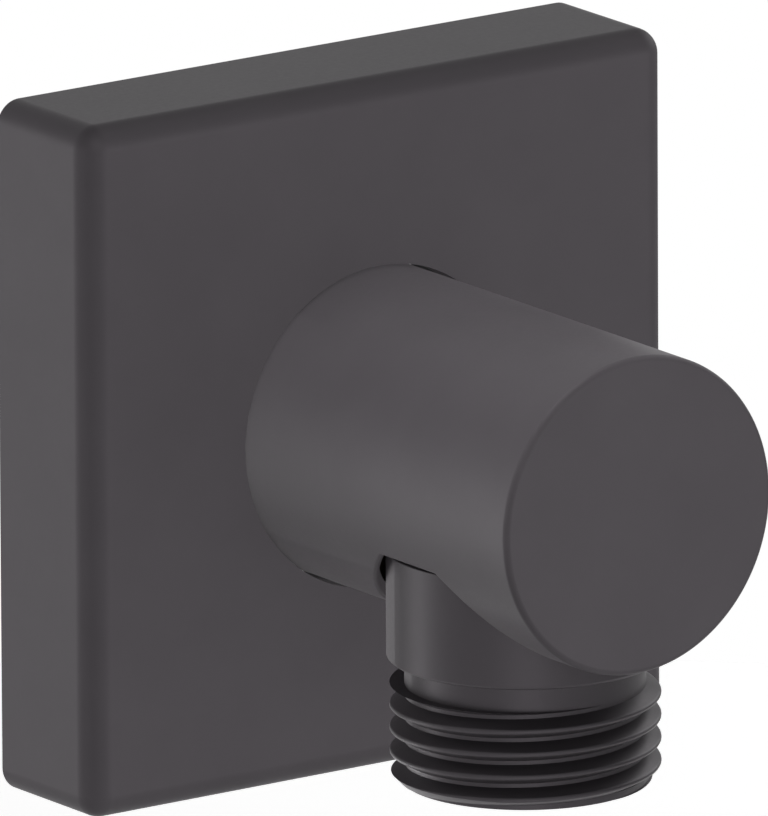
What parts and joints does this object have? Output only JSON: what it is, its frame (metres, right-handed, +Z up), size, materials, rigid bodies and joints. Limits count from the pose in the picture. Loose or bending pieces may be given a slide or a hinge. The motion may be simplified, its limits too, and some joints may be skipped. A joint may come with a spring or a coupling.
{
  "type": "wall outlet elbow",
  "caption": "Square wall outlet elbow for a shower hose: hollow plate, round cover sleeve and a threaded outlet pointing down, with an inner elbow and a check valve.",
  "frame": {"origin": "centre of the plate's back on the wall, where the inlet thread meets its shoulder", "axes": "+Z up, +Y into the wall along the inlet thread, the front faces -Y"},
  "size_m": [0.055, 0.06, 0.055],
  "materials": {
    "black_coat": "matt black coat",
    "brass": "as turned",
    "steel": "plain stainless",
    "rubber": "moulded",
    "valve_plastic": "moulded"
  },
  "bodies": {
    "fitting": {"escutcheon": "black_coat", "plate_seal": "rubber", "cover_sleeve": "black_coat", "sleeve_seal": "rubber", "elbow_body": "brass", "wall_nipple": "brass", "nipple_seal_rear": "rubber", "nipple_seal_front": "rubber", "lock_screw": "steel", "outlet_gasket": "rubber", "outlet_nipple": "black_coat", "check_valve_seat": "valve_plastic", "check_valve_housing": "valve_plastic", "check_valve_seal": "rubber", "check_valve_spring": "steel"},
    "poppet": {"check_valve_poppet": "valve_plastic", "poppet_seal": "rubber"}
  },
  "joints": [
    {"name": "poppet_slide", "type": "slide", "parent": "fitting", "child": "poppet", "axis": [0, 0, -1], "range_m": [0, 0.002], "stiffness_N_per_m": 60, "springref_m": -0.004, "deforming": ["check_valve_spring"]}
  ]
}
